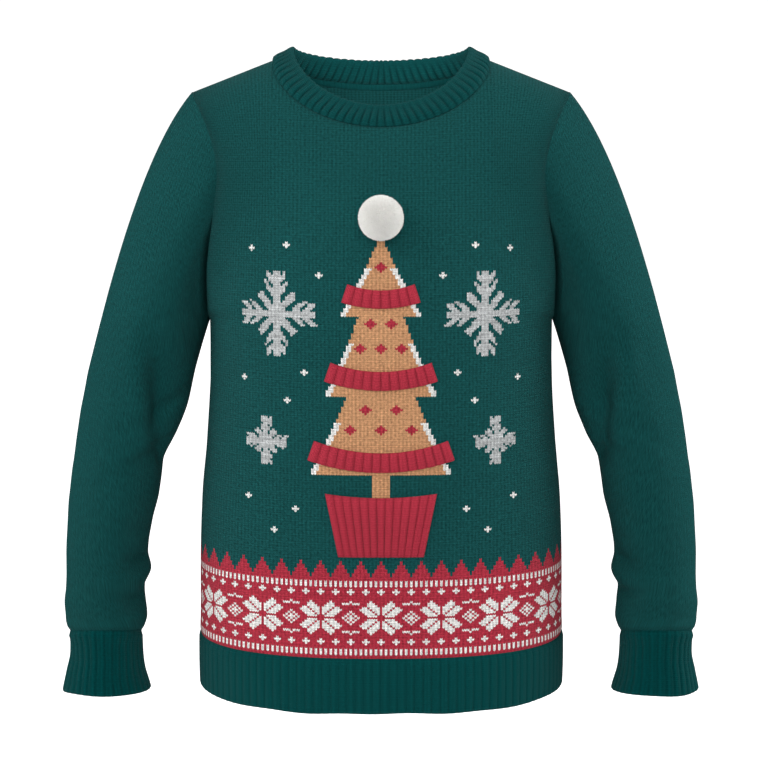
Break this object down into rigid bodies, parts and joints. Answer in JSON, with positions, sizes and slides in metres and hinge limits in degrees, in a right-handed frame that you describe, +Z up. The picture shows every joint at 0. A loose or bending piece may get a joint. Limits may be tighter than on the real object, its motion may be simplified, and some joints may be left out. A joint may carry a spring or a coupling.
{
  "type": "christmas sweater",
  "caption": "Crew-neck knitted jumper with long sleeves, ribbed hem, cuffs and collar, a tree design with applied ribbed swags, a ribbed pot and a pompom, and a border round the hips.",
  "frame": {"origin": "centre line of the garment, in the plane of its shoulder seams, level with the top of the shoulders", "axes": "+X towards the wearer's left, -Y towards the front, +Z up"},
  "size_m": [0.6758, 0.2756, 0.6807],
  "materials": {
    "knit": "soft knitted yarn, matt",
    "rib": "ribbed knitting, matt",
    "applied_rib": "ribbed knitting, matt",
    "pompom": "cut yarn, soft pile"
  },
  "bodies": {
    "root": {"front": "knit", "back": "knit", "sleeve_left": "knit", "sleeve_right": "knit", "hem_front": "rib", "hem_back": "rib", "cuff_left": "rib", "cuff_right": "rib", "collar": "rib", "garland_top": "applied_rib", "garland_middle": "applied_rib", "garland_bottom": "applied_rib", "pot": "applied_rib", "pompom": "pompom"}
  },
  "joints": []
}
